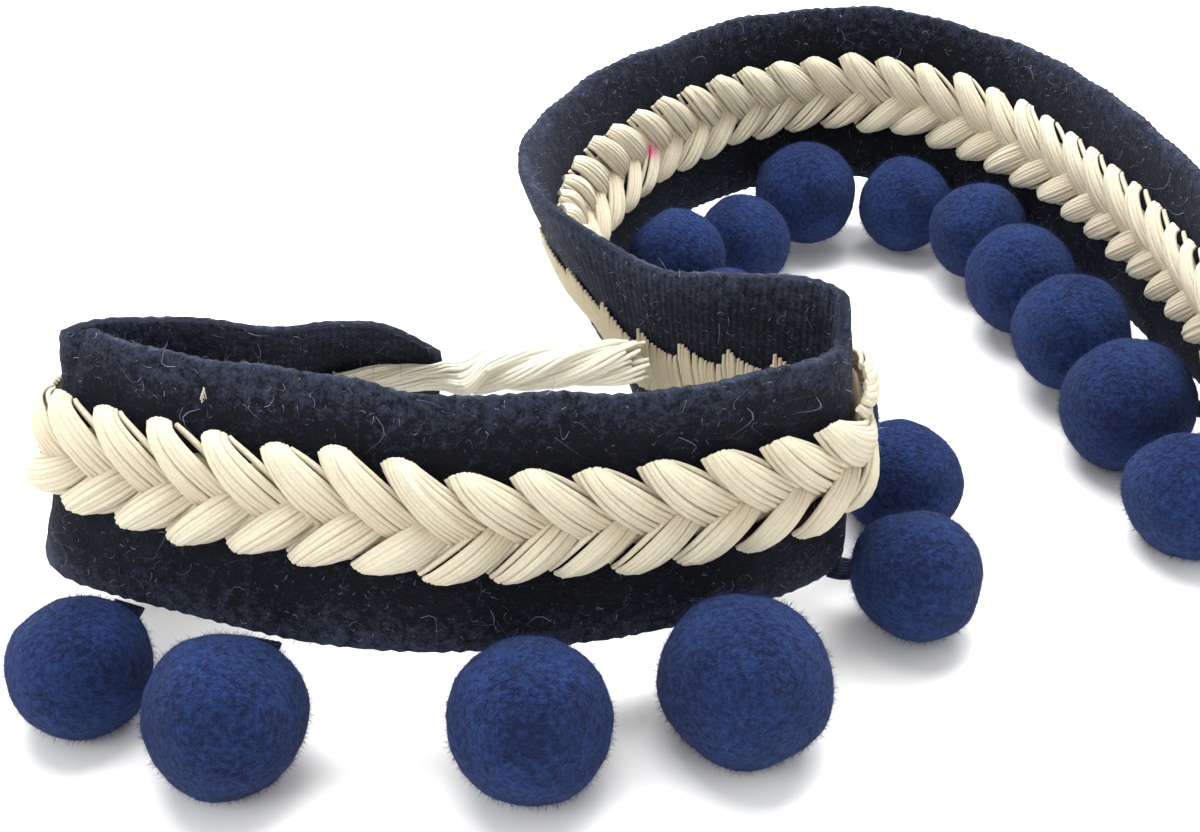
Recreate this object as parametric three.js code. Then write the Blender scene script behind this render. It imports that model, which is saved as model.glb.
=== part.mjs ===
// Pompom trim: a navy cotton tape stands on its edge in an S, with a cream plait sewn along
// its front, a cream band of stitches down its back and blue felt pompoms on its lower edge.
// Millimetres, +Z up, the front is -Y. The pompoms rest on z = 0.
import * as THREE from 'three';

const TAPE_WIDTH = 25;
const TAPE_THICK = 1.8;
const SEAT = 0.3;
const PLAIT_WIDTH = 11.6;
const PLAIT_HEIGHT = 2.6;
const PLAIT_RISE = 1;
const PLAIT_PITCH = 5.6;
const PLAIT_SLANT = 7;
const PLAIT_FREE = 22.4;
const FREE_SWAY = 10.3;
const FREE_RISE = 6.4;
const BAND_WIDTH = 7.6;
const BAND_THICK = 0.7;
const TOOTH_PITCH = 5.6;
const TOOTH_HEIGHT = 1.9;
const TAB_WIDTH = 3.4;
const TAB_THICK = 1.4;
const BALL_FLAT = 0.45;

// The tape's course, from its raw end to its cut end. Each stretch has a length along the
// tape, a turn to the left in degrees, and at its far end a lean away from the plait and the
// height of the lower edge above the floor.
const START = { x: -16.8, y: 147.9, heading: 191.6, lean: 37, lift: 6.9 };
const EASE = 4;
const COURSE = [
  { name: 'flopped raw end', length: 14.7, turn: 15.1, lean: 32.3, lift: 7.3 },
  { name: 'back of the loop', length: 22.1, turn: 5.4, lean: 2.3, lift: 6.3 },
  { name: 'left fold', length: 4.3, turn: 121.8, lean: 18.8, lift: 8.4 },
  { name: 'front, left', length: 27.4, turn: 15.2, lean: 21.7, lift: 8.6 },
  { name: 'front, left of the middle', length: 14.3, turn: 20.4, lean: 14.4, lift: 6.6 },
  { name: 'front, right of the middle', length: 17.1, turn: 4.7, lean: 7.4, lift: 5.8 },
  { name: 'front, right', length: 19.4, turn: 32.4, lean: 3.7, lift: 5.3 },
  { name: 'right fold', length: 3.7, turn: 101.9, lean: 0.8, lift: 9 },
  { name: 'neck', length: 24, turn: -15.6, lean: 10.9, lift: 5.3 },
  { name: 'neck into the bow', length: 10.4, turn: -15, lean: 24.4, lift: 9.1 },
  { name: 'bow, left', length: 23.5, turn: -42.7, lean: 19.8, lift: 7 },
  { name: 'bow, far left', length: 33.5, turn: -29.4, lean: 4.8, lift: 6.2 },
  { name: 'bow, top', length: 21.2, turn: -38.4, lean: 3, lift: 6.4 },
  { name: 'bow, shoulder', length: 27.9, turn: -67.3, lean: 9.9, lift: 4.7 },
  { name: 'bow, right', length: 27.1, turn: -17, lean: -1.8, lift: 5.1 },
  { name: 'far right', length: 34.5, turn: -16, lean: -10, lift: 7 },
  { name: 'cut end', length: 10, turn: 10, lean: -10, lift: 6.5 },
];

// Each pompom hangs on a tab at a place along the lower edge (root). Its centre lies so far
// along the tape from there (along) and so far out on the plait's side (out). wide is its
// diameter, egg how much longer it is toward the floor's right, and rise how far the tape
// holds it off the floor.
const POMPOMS = [
  { root: 13, along: 0, out: 8.4, wide: 13.2, egg: 0.02, rise: 0 },
  { root: 31, along: 0, out: 8.1, wide: 13.2, egg: 0.02, rise: 0 },
  { root: 49, along: -0.3, out: 7.2, wide: 13, egg: 0.02, rise: 0 },
  { root: 63, along: 0.2, out: 9, wide: 14.4, egg: 0.02, rise: 0 },
  { root: 84, along: 0.9, out: 9.4, wide: 14.6, egg: 0.01, rise: 0 },
  { root: 102, along: 0.6, out: 10, wide: 15.2, egg: 0.1, rise: 0 },
  { root: 119, along: -0.5, out: 8.2, wide: 12.8, egg: 0.02, rise: 0.4 },
  { root: 124, along: -1, out: 12, wide: 12.6, egg: 0.01, rise: 0.6 },
  { root: 135.8, along: -1.5, out: 14, wide: 13.8, egg: 0.02, rise: 0.8 },
  { root: 178, along: 1, out: 15.4, wide: 12.8, egg: 0.02, rise: 0.6 },
  { root: 190.4, along: 1.2, out: 6.8, wide: 12.2, egg: 0.02, rise: 3.8 },
  { root: 208, along: 1.2, out: 10.6, wide: 12.6, egg: 0, rise: 0 },
  { root: 228, along: 0.5, out: 8.3, wide: 14, egg: 0.01, rise: 1.7 },
  { root: 252, along: -0.7, out: 7.6, wide: 12.8, egg: 0.02, rise: 1 },
  { root: 269, along: 0.8, out: 7.4, wide: 12.8, egg: 0, rise: 2.2 },
  { root: 284, along: 1, out: 11.4, wide: 13.6, egg: 0.02, rise: 1.9 },
  { root: 300, along: 0.9, out: 11.7, wide: 14, egg: 0.01, rise: 1.8 },
  { root: 316, along: 0.8, out: 10.7, wide: 14.8, egg: 0.02, rise: 0.4 },
  { root: 331, along: 1.5, out: 8.3, wide: 13.4, egg: 0.01, rise: 0 },
];

const COLOURS = {
  tape: { color: '#232a3c', roughness: 0.95 },
  plait: { color: '#e9e0cb', roughness: 0.9 },
  band: { color: '#d9cfb8', roughness: 0.92 },
  tab: { color: '#20283f', roughness: 0.95 },
  pompom: { color: '#263f83', roughness: 1 },
};

const LENGTH = COURSE.reduce((sum, row) => sum + row.length, 0);
const clamp = (x) => Math.min(Math.max(x, 0), 1);
const smooth = (x) => clamp(x) ** 2 * (3 - 2 * clamp(x));
const mix = (a, b, t) => a + (b - a) * t;
const radians = THREE.MathUtils.degToRad;

// The share of a window around s that lies in each stretch gives the bend there, so the
// bend flows from one stretch into the next.
function bendAt(s) {
  let from = 0;
  let bend = 0;
  for (const row of COURSE) {
    const to = from + row.length;
    const share = clamp((Math.min(s + EASE, to) - Math.max(s - EASE, from)) / (2 * EASE));
    bend += (radians(row.turn) / row.length) * share;
    from = to;
  }
  return bend;
}

// What a column of the table has come to at s, eased over each stretch.
function columnAt(s, column) {
  let from = 0;
  let value = START[column];
  for (const row of COURSE) {
    if (s <= from) break;
    value = mix(value, row[column], smooth((s - from) / row.length));
    from += row.length;
  }
  return value;
}

// The walk along the tape's lower half line, a fine step at a time.
const STEP = 0.25;
function walk() {
  const places = [];
  let { x, y } = START;
  let heading = radians(START.heading);
  for (let s = 0; s <= LENGTH + STEP / 2; s += STEP) {
    places.push({ x, y, heading });
    const turned = heading + bendAt(s + STEP / 2) * STEP;
    x += Math.cos((heading + turned) / 2) * STEP;
    y += Math.sin((heading + turned) / 2) * STEP;
    heading = turned;
  }
  return places;
}
const PLACES = walk();

// The tape's own axes at s: ahead along it, up its face, and out of the plait's side.
function axesAt(s) {
  const inside = Math.min(Math.max(s, 0), LENGTH);
  const slot = Math.min(Math.floor(inside / STEP), PLACES.length - 2);
  const t = inside / STEP - slot;
  const a = PLACES[slot];
  const b = PLACES[slot + 1];
  const heading = mix(a.heading, b.heading, t);
  const lean = radians(columnAt(inside, 'lean'));
  const lift = columnAt(inside, 'lift');
  const ahead = new THREE.Vector3(Math.cos(heading), Math.sin(heading), 0);
  const right = new THREE.Vector3(Math.sin(heading), -Math.cos(heading), 0);
  const up = right.clone().multiplyScalar(-Math.sin(lean)).setZ(Math.cos(lean));
  const out = right.clone().multiplyScalar(Math.cos(lean)).setZ(Math.sin(lean));
  const middle = new THREE.Vector3(mix(a.x, b.x, t), mix(a.y, b.y, t), 0);
  middle.z = lift + (TAPE_WIDTH / 2) * Math.cos(lean);
  middle.addScaledVector(ahead, s - inside);
  return { ahead, right, up, out, middle };
}

// A point at s along the tape, v up its face from the middle and d out of the plait's side.
function point(s, v, d) {
  const { up, out, middle } = axesAt(s);
  return middle.clone().addScaledVector(up, v).addScaledVector(out, d);
}

// A closed body through a row of rings that all have the same number of points.
function skin(rings) {
  const around = rings[0].length;
  const points = rings.flat();
  const faces = [];
  for (let i = 0; i + 1 < rings.length; i += 1) {
    for (let j = 0; j < around; j += 1) {
      const a = i * around + j;
      const b = i * around + ((j + 1) % around);
      faces.push([a, b, a + around], [b, b + around, a + around]);
    }
  }
  for (const [ring, first] of [[rings[0], 0], [rings.at(-1), (rings.length - 1) * around]]) {
    const hub = points.length;
    const middle = ring.reduce((sum, p) => sum.add(p), new THREE.Vector3());
    points.push(middle.divideScalar(around));
    for (let j = 0; j < around; j += 1) {
      const side = [hub, first + ((j + 1) % around), first + j];
      faces.push(first === 0 ? side : side.reverse());
    }
  }
  return body(points, faces);
}

// The mesh data, turned outward if its volume comes out negative.
function body(points, faces) {
  const volume = faces.reduce((sum, [a, b, c]) => {
    return sum + points[a].dot(points[b].clone().cross(points[c])) / 6;
  }, 0);
  const geometry = new THREE.BufferGeometry();
  geometry.setAttribute('position', new THREE.Float32BufferAttribute(
    points.flatMap((p) => [p.x, p.y, p.z]), 3,
  ));
  geometry.setIndex(faces.flatMap((f) => (volume < 0 ? [f[0], f[2], f[1]] : f)));
  geometry.computeVertexNormals();
  return geometry;
}

// Places along the tape that lie closer together in the tight folds.
function stations(from, to, step, tightStep) {
  const list = [from];
  while (list.at(-1) < to - step) {
    const s = list.at(-1);
    const tight = Math.abs(bendAt(s)) > 0.08 || Math.abs(bendAt(s + step)) > 0.08;
    list.push(s + (tight ? tightStep : step));
  }
  list.push(to);
  return list;
}

// The tape is a flat strip with rounded selvedges that waver a little. Its raw end is cut
// aslant, so that the top edge comes down to a corner.
const CUT_LENGTH = 8.5;
const CUT_DEPTH = 7.7;
function topEdge(s) {
  const cut = CUT_DEPTH * clamp(1 - s / CUT_LENGTH) ** 1.8;
  return TAPE_WIDTH / 2 - 0.25 + 0.2 * Math.sin(s / 5.3) * Math.sin(s / 2.1) - cut;
}
const lowEdge = (s) => -TAPE_WIDTH / 2 + 0.2 + 0.2 * Math.sin(s / 4.1 + 1);

function tape() {
  const face = TAPE_THICK / 2;
  return skin([0, 1, 2.2, 3.6, 5.2, ...stations(7, LENGTH, 2.6, 1.3)].map((s) => {
    const top = topEdge(s);
    const low = lowEdge(s);
    return [
      point(s, top, 0),
      point(s, top - 0.35, face * 0.8),
      point(s, 0, face),
      point(s, low + 0.35, face * 0.8),
      point(s, low, 0),
      point(s, low + 0.35, -face * 0.8),
      point(s, 0, -face),
      point(s, top - 0.35, -face * 0.8),
    ];
  }));
}

// The plait is two rows of slanted lobes that meet in the middle, half a lobe apart. It comes
// loose and sags near the tape's raw end, and past it draws together into a short rope that
// bends to the front.
const LOBE_STEPS = 6;
const COLUMNS = [
  { u: 1, rise: 0.1 },
  { u: 0.86, rise: 0.58 },
  { u: 0.62, rise: 0.96 },
  { u: 0.36, rise: 1 },
  { u: 0.14, rise: 0.74 },
  { u: 0, rise: 0.5 },
];

const LOOSE_LENGTH = 12;
function lobe(phase) {
  const crest = Math.sin(Math.PI * phase ** 0.85);
  return Math.max(crest, 0) ** 0.6;
}

function plaitPoint(s, v, d) {
  const gone = clamp(-s / PLAIT_FREE);
  const sag = 1 - smooth(s / LOOSE_LENGTH);
  const narrow = mix(1, 0.42, smooth(gone + 0.25 * sag));
  const flat = mix(1, 0.62, sag * (1 - gone));
  const p = point(s, PLAIT_RISE - 3.4 * sag + v * narrow, TAPE_THICK / 2 + SEAT + d * flat);
  p.y -= FREE_SWAY * gone ** 2;
  p.z += FREE_RISE * gone ** 2 - 1.8 * smooth(gone * 5) - 0.6 * gone;
  return p;
}

function plait() {
  const step = PLAIT_PITCH / LOBE_STEPS;
  const first = -PLAIT_FREE;
  const last = LENGTH - 0.8;
  const count = Math.floor((last - first) / step);
  const halves = [
    ...COLUMNS,
    ...COLUMNS.slice(0, -1).reverse().map((c) => ({ u: -c.u, rise: c.rise })),
  ];
  const rings = [];
  for (let i = 0; i <= count; i += 1) {
    const s = first + i * step;
    const slant = PLAIT_SLANT * smooth((s - first) / 14) * smooth((last - s) / 14);
    const ring = halves.map(({ u, rise }) => {
      const shift = u < 0 ? LOBE_STEPS / 2 : 0;
      const swell = u === 0 ? 0.6 : lobe(((i + shift) % LOBE_STEPS) / LOBE_STEPS);
      const across = Math.abs(u);
      const v = (PLAIT_WIDTH / 2) * u * (1 - 0.15 * (1 - swell) * across ** 3);
      const d = 0.5 + (PLAIT_HEIGHT - 0.5) * rise * (0.42 + 0.58 * swell);
      return plaitPoint(s + slant * (1 - across) ** 0.9, v, d);
    });
    ring.push(plaitPoint(s, -PLAIT_WIDTH * 0.39, 0));
    ring.push(plaitPoint(s, PLAIT_WIDTH * 0.39, 0));
    rings.push(ring);
  }
  return skin(rings);
}

// The stitches on the back: a thin band with teeth along its upper side, one for each lobe of
// the plait. A tooth rises slowly and falls off steeply, toward the cut end.
const TOOTH = [
  { phase: 0, rise: -0.5 },
  { phase: 0.4, rise: -0.25 },
  { phase: 0.72, rise: 0.15 },
  { phase: 0.88, rise: 0.5 },
];

function band() {
  const near = -TAPE_THICK / 2 - SEAT;
  const far = near - BAND_THICK;
  const rings = [];
  for (let start = 1; start < LENGTH - 1; start += TOOTH_PITCH) {
    for (const { phase, rise } of TOOTH) {
      const s = start + phase * TOOTH_PITCH;
      if (s > LENGTH - 1) break;
      const top = BAND_WIDTH / 2 + rise * TOOTH_HEIGHT;
      const low = -BAND_WIDTH / 2 + 0.3 * Math.sin(s);
      rings.push([
        point(s, top, near), point(s, low, near), point(s, low, far), point(s, top - 0.3, far),
      ]);
    }
  }
  return skin(rings);
}

// A pompom's surface in a direction from its centre: a ball with soft lumps and an egg's
// longer end toward the right of the floor.
const EGG_WAY = new THREE.Vector3(0.62, -0.3, -0.72).normalize();
function ballReach(row, way, seed) {
  const lumps = Math.sin(way.x * 3.1 + seed * 1.9) * Math.sin(way.y * 2.7 + seed * 2.3)
    + 0.7 * Math.sin(way.z * 3.6 + way.x * 2.2 + seed * 3.1);
  const egg = row.egg * Math.max(way.dot(EGG_WAY), 0) ** 2;
  return (row.wide / 2) * (1 + 0.022 * lumps + egg);
}

function seatOf(row, seed) {
  const { ahead, right, up, out } = axesAt(row.root);
  const edge = point(row.root, lowEdge(row.root), 0);
  const centre = point(row.root, -TAPE_WIDTH / 2, 0)
    .addScaledVector(ahead, row.along)
    .addScaledVector(right, row.out);
  centre.z = row.wide / 2 - BALL_FLAT + row.rise;
  return { edge, centre, ahead, up, out, seed };
}

const BALL_SIDES = 12;
const BALL_BANDS = 7;
function pompom(row, { centre, seed }) {
  const rings = [];
  const upward = new THREE.Vector3(0, 0, 1);
  const points = [centre.clone().addScaledVector(upward, ballReach(row, upward, seed))];
  for (let i = 1; i < BALL_BANDS; i += 1) {
    const slope = mix(0, Math.PI * 0.87, i / (BALL_BANDS - 1));
    const ring = [];
    for (let j = 0; j < BALL_SIDES; j += 1) {
      const turn = ((j + (i % 2) / 2) / BALL_SIDES) * Math.PI * 2;
      const way = new THREE.Vector3(
        Math.sin(slope) * Math.cos(turn), Math.sin(slope) * Math.sin(turn), Math.cos(slope),
      );
      const p = centre.clone().addScaledVector(way, ballReach(row, way, seed));
      p.z = i === BALL_BANDS - 1 ? row.rise : Math.max(p.z, row.rise + 0.25);
      ring.push(points.length);
      points.push(p);
    }
    rings.push(ring);
  }
  const sole = points.length;
  points.push(centre.clone().setZ(row.rise));
  const faces = [];
  for (let j = 0; j < BALL_SIDES; j += 1) {
    const k = (j + 1) % BALL_SIDES;
    faces.push([0, rings[0][j], rings[0][k]]);
    faces.push([sole, rings.at(-1)[k], rings.at(-1)[j]]);
    for (let i = 0; i + 1 < rings.length; i += 1) {
      const [a, b] = [rings[i], rings[i + 1]];
      if (i % 2 === 0) {
        faces.push([a[j], b[k], a[k]], [a[j], b[j], b[k]]);
      } else {
        faces.push([a[j], b[j], a[k]], [a[k], b[j], b[k]]);
      }
    }
  }
  return body(points, faces);
}

// A short woven tab from under the tape's lower edge to the pompom's side, where it ends on
// the ball's own curve.
function tab(row, { edge, centre, ahead, up, out, seed }) {
  const from = edge.clone().addScaledVector(up, -SEAT - TAB_THICK / 2).addScaledVector(out, -0.4);
  const near = from.clone().sub(centre).normalize();
  const to = centre.clone().addScaledVector(near, ballReach(row, near, seed) + SEAT);
  const way = to.clone().sub(from).normalize();
  const flat = way.clone().cross(ahead).normalize();
  const ring = (hub, thin, grow) => [0, 1, 2, 3, 4, 5].map((j) => {
    const turn = (j / 6) * Math.PI * 2;
    return hub.clone()
      .addScaledVector(ahead, (TAB_WIDTH / 2) * grow * Math.cos(turn))
      .addScaledVector(thin, (TAB_THICK / 2) * grow * Math.sin(turn));
  });
  const side = flat.dot(up) < 0 ? up.clone().negate() : up;
  const end = ring(to, flat, 0.95).map((p) => {
    const outward = p.sub(centre).normalize();
    return centre.clone().addScaledVector(outward, ballReach(row, outward, seed) + SEAT);
  });
  return skin([ring(from, side, 1), ring(from.clone().lerp(to, 0.5), flat, 0.8), end]);
}

const group = new THREE.Group();
function add(name, geometry, look) {
  const mesh = new THREE.Mesh(geometry, new THREE.MeshStandardMaterial({ ...look, metalness: 0 }));
  mesh.name = name;
  group.add(mesh);
}

add('tape', tape(), COLOURS.tape);
add('plait', plait(), COLOURS.plait);
add('back_band', band(), COLOURS.band);
POMPOMS.forEach((row, i) => {
  const number = String(i + 1).padStart(2, '0');
  const seat = seatOf(row, i + 1);
  add(`pompom_${number}`, pompom(row, seat), COLOURS.pompom);
  add(`tab_${number}`, tab(row, seat), COLOURS.tab);
});

// The frame's origin is the middle of the box that holds it all, on the floor.
const box = new THREE.Box3().setFromObject(group);
const middle = box.getCenter(new THREE.Vector3());
for (const mesh of group.children) {
  mesh.geometry.translate(-middle.x, -middle.y, 0);
}

export default group;
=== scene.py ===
# %% [markdown]
# # A pompom trim
# A length of pompom trim is a narrow cotton tape with three things sewn to it: a thick cream
# plait along its front, the backs of the plait's stitches as a band along its back, and a row
# of felt pompoms on short tabs along its lower edge. Here it stands on its edge in an S.
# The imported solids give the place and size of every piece. This lesson makes a finer piece for
# each of them. Each piece could be shaped where it lies, but its stitches would be hard to space.
# So everything sewn to the tape is made on a flat strip first, as a maker would make it, and
# then laid along the tape's course.

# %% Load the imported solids
import math
from collections import namedtuple

import bpy
import numpy as np
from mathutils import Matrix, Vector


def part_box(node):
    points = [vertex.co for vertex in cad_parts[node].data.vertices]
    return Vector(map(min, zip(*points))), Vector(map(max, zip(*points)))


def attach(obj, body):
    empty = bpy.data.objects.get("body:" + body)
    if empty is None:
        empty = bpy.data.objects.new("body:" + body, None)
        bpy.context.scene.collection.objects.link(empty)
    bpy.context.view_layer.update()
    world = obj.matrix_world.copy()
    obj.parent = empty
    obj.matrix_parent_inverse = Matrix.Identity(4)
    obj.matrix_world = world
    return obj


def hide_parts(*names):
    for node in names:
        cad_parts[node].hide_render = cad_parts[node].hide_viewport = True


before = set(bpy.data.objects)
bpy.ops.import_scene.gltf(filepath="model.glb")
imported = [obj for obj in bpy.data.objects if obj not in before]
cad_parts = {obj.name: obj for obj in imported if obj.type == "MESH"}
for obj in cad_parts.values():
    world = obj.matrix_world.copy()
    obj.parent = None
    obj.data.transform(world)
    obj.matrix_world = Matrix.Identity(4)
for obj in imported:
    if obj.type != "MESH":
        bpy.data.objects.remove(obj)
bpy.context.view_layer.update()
print("solids loaded:", len(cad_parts))

# %% [markdown]
# ## Sizes
# All lengths are in millimetres, because that is how a trimming is measured. They are turned
# into metres only when a finished piece is put into the scene.

# %% Sizes of the trim
TAPE_WIDTH = 25.0
TAPE_THICK = 1.8
SEAT = 0.3
CUT_LENGTH = 8.5
CUT_DEPTH = 7.7
PLAIT_WIDTH = 11.6
PLAIT_RISE = 1.0
PLAIT_PITCH = 5.6
PLAIT_FREE = 22.4
LOOSE_LENGTH = 12.0
LOOSE_SAG = 3.4
BAND_WIDTH = 7.6
TOOTH_HEIGHT = 1.9
BALL_FLAT = 0.45
MM = 0.001

# %% [markdown]
# ## The tape's course
# The tape is a strip that turns and leans as it goes. A table of stretches says how long each
# one is, how far it turns to the left, and at its far end how far it leans away from the plait
# and how high its lower edge is. A hand-drawn curve would do as well, but a table can be read and
# changed by its numbers. A walk along it in fine steps gives the tape's place and direction at
# every point.

# %% Table of stretches
Stretch = namedtuple("Stretch", "name length turn lean lift")
START = Stretch("raw end", 0, 191.6, 37, 6.9)
START_XY = (-24.049, -12.532)
COURSE = [
    Stretch("flopped raw end", 14.7, 15.1, 32.3, 7.3),
    Stretch("back of the loop", 22.1, 5.4, 2.3, 6.3),
    Stretch("left fold", 4.3, 121.8, 18.8, 8.4),
    Stretch("front, left", 27.4, 15.2, 21.7, 8.6),
    Stretch("front, left of the middle", 14.3, 20.4, 14.4, 6.6),
    Stretch("front, right of the middle", 17.1, 4.7, 7.4, 5.8),
    Stretch("front, right", 19.4, 32.4, 3.7, 5.3),
    Stretch("right fold", 3.7, 101.9, 0.8, 9),
    Stretch("neck", 24, -15.6, 10.9, 5.3),
    Stretch("neck into the bow", 10.4, -15, 24.4, 9.1),
    Stretch("bow, left", 23.5, -42.7, 19.8, 7),
    Stretch("bow, far left", 33.5, -29.4, 4.8, 6.2),
    Stretch("bow, top", 21.2, -38.4, 3, 6.4),
    Stretch("bow, shoulder", 27.9, -67.3, 9.9, 4.7),
    Stretch("bow, right", 27.1, -17, -1.8, 5.1),
    Stretch("far right", 34.5, -16, -10, 7),
    Stretch("cut end", 10, 10, -10, 6.5),
]
LENGTH = sum(stretch.length for stretch in COURSE)
EASE = 4.0
STEP = 0.25
print("tape length", LENGTH, "mm")


# %% Walk along the course
def smooth(x):
    x = np.clip(x, 0, 1)
    return x * x * (3 - 2 * x)


def bend_at(s):
    """The turn per millimetre, shared out over a window so that it flows on."""
    start, bend = 0.0, np.zeros_like(s)
    for stretch in COURSE:
        end = start + stretch.length
        share = np.clip(np.minimum(s + EASE, end) - np.maximum(s - EASE, start), 0, None)
        bend += math.radians(stretch.turn) / stretch.length * share / (2 * EASE)
        start = end
    return bend


def eased(s, column):
    """A column of the table, eased over each stretch."""
    start, value = 0.0, np.full_like(s, getattr(START, column), dtype=float)
    for stretch in COURSE:
        value += (getattr(stretch, column) - value) * smooth((s - start) / stretch.length)
        start += stretch.length
    return value


walk_s = np.arange(0, LENGTH + STEP / 2, STEP)
walk_turn = bend_at(walk_s[:-1] + STEP / 2) * STEP
walk_heading = math.radians(START.turn) + np.concatenate([[0], np.cumsum(walk_turn)])
middle_heading = (walk_heading[1:] + walk_heading[:-1]) / 2
walk_x = START_XY[0] + np.concatenate([[0], np.cumsum(np.cos(middle_heading) * STEP)])
walk_y = START_XY[1] + np.concatenate([[0], np.cumsum(np.sin(middle_heading) * STEP)])
walk_lean = np.radians(eased(walk_s, "lean"))
walk_lift = eased(walk_s, "lift")
print("course ends at", round(walk_x[-1], 1), round(walk_y[-1], 1))


# %% Lay a flat piece along the course
def axes_at(s):
    """Ahead, up, out and the middle of the tape at each s."""
    inside = np.clip(s, 0, LENGTH)
    heading, x, y, lean, lift = (
        np.interp(inside, walk_s, line)
        for line in (walk_heading, walk_x, walk_y, walk_lean, walk_lift)
    )
    zero, one = np.zeros_like(heading), np.ones_like(heading)
    ahead = np.stack([np.cos(heading), np.sin(heading), zero], 1)
    right = np.stack([np.sin(heading), -np.cos(heading), zero], 1)
    high = np.stack([zero, zero, one], 1)
    cos, sin = np.cos(lean)[:, None], np.sin(lean)[:, None]
    up, out = cos * high - sin * right, cos * right + sin * high
    middle = np.stack([x, y, lift + TAPE_WIDTH / 2 * np.cos(lean)], 1)
    middle += ahead * (s - inside)[:, None]
    return ahead, up, out, middle


def lay(flat):
    """From flat places (s along, v across, d out of the front) to places on the floor."""
    flat = np.asarray(flat, dtype=float)
    _, up, out, middle = axes_at(flat[:, 0])
    return middle + up * flat[:, 1:2] + out * flat[:, 2:3]


tape_low = lay([[s, -TAPE_WIDTH / 2, 0] for s in np.arange(0, LENGTH, 5)])
print("lower edge between", tape_low[:, 2].min().round(1), "and", tape_low[:, 2].max().round(1))

# %% [markdown]
# ## Sums in a node tree
# Geometry Nodes and materials both do their sums in Math nodes, and a long sum is hard to read
# as a list of nodes. This small class adds the node when two numbers are added, multiplied and
# so on, so that a sum in a tree can be written as a sum.


# %% Numbers that live in a node tree
class Number:
    """A socket that carries a number. Adding or multiplying it adds the Math node."""

    def __init__(self, socket):
        self.socket = socket
        self.tree = socket.id_data

    def math(self, operation, *others):
        node = self.tree.nodes.new("ShaderNodeMath")
        node.operation = operation
        for slot, value in zip(node.inputs, (self, *others)):
            if isinstance(value, Number):
                self.tree.links.new(value.socket, slot)
            else:
                slot.default_value = value
        return Number(node.outputs[0])

    def __add__(self, other):
        return self.math("ADD", other)

    def __sub__(self, other):
        return self.math("SUBTRACT", other)

    def __mul__(self, other):
        return self.math("MULTIPLY", other)

    def __truediv__(self, other):
        return self.math("DIVIDE", other)

    def __pow__(self, other):
        return self.math("POWER", other)

    def __neg__(self):
        return self * -1.0

    def __rsub__(self, other):
        return -self + other

    __radd__ = __add__
    __rmul__ = __mul__

    def whole(self):
        return self.math("FLOOR")

    def rest(self, size):
        return self.math("FLOORED_MODULO", size)

    def wave(self):
        return self.math("SINE")

    def swing(self):
        return self.math("COSINE")

    def least(self, other):
        return self.math("MAXIMUM", other)

    def most(self, other):
        return self.math("MINIMUM", other)

    def to(self, other, share):
        """This number at share 0, the other at share 1."""
        return self + (other - self) * share


# %% Nodes with their settings and links in one line
def add(tree, kind, inputs=None, **settings):
    """Adds a node. An input may be a plain value, a socket or a Number."""
    node = tree.nodes.new(kind)
    for key, value in settings.items():
        setattr(node, key, value)
    for key, value in (inputs or {}).items():
        slot = node.inputs[key]
        if isinstance(value, Number):
            value = value.socket
        if isinstance(value, bpy.types.NodeSocket):
            tree.links.new(value, slot)
        else:
            slot.default_value = value
    return node


def vector(tree, x, y, z):
    return add(tree, "ShaderNodeCombineXYZ", {0: x, 1: y, 2: z}).outputs[0]


# %% A new geometry tree with named sizes
def new_tree(name, sizes):
    """A tree with a mesh input and one named input for each size. Returns its numbers too."""
    tree = bpy.data.node_groups.new(name, "GeometryNodeTree")
    face = tree.interface
    face.new_socket("Mesh", in_out="OUTPUT", socket_type="NodeSocketGeometry")
    face.new_socket("Mesh", in_out="INPUT", socket_type="NodeSocketGeometry")
    for key, value in sizes.items():
        kind = "NodeSocketInt" if isinstance(value, int) else "NodeSocketFloat"
        face.new_socket(key, in_out="INPUT", socket_type=kind).default_value = value
    source = tree.nodes.new("NodeGroupInput")
    numbers = {key: Number(source.outputs[key]) for key in sizes}
    return tree, source.outputs["Mesh"], numbers


# %% Random and stored numbers
def random(tree, low, high, number, seed):
    """A random number from low to high that is always the same for the same number."""
    node = add(tree, "FunctionNodeRandomValue", {"ID": number, "Seed": seed}, data_type="FLOAT")
    slots = [slot for slot in node.inputs if slot.enabled]
    slots[0].default_value, slots[1].default_value = low, high
    return Number([slot for slot in node.outputs if slot.enabled][0])


def store(tree, geometry, name, number, domain="POINT"):
    node = add(
        tree, "GeometryNodeStoreNamedAttribute",
        {"Geometry": geometry, "Name": name, "Value": number},
        data_type="FLOAT", domain=domain,
    )
    return node.outputs[0]


def recall(tree, name):
    node = add(tree, "GeometryNodeInputNamedAttribute", {"Name": name}, data_type="FLOAT")
    return Number(node.outputs["Attribute"])


def spline_share(tree):
    """How far along its curve each point is, from 0 to 1."""
    return Number(add(tree, "GeometryNodeSplineParameter").outputs["Factor"])


# %% The end of every tree
def close_tree(tree, geometry, material):
    """The tree's end: real copies, and the material on them."""
    real = add(tree, "GeometryNodeRealizeInstances", {0: geometry}).outputs[0]
    soft = add(tree, "GeometryNodeSetShadeSmooth", {0: real}).outputs[0]
    coat = add(tree, "GeometryNodeSetMaterial", {0: soft, "Material": material}).outputs[0]
    sink = tree.nodes.new("NodeGroupOutput")
    tree.links.new(coat, sink.inputs[0])


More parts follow.
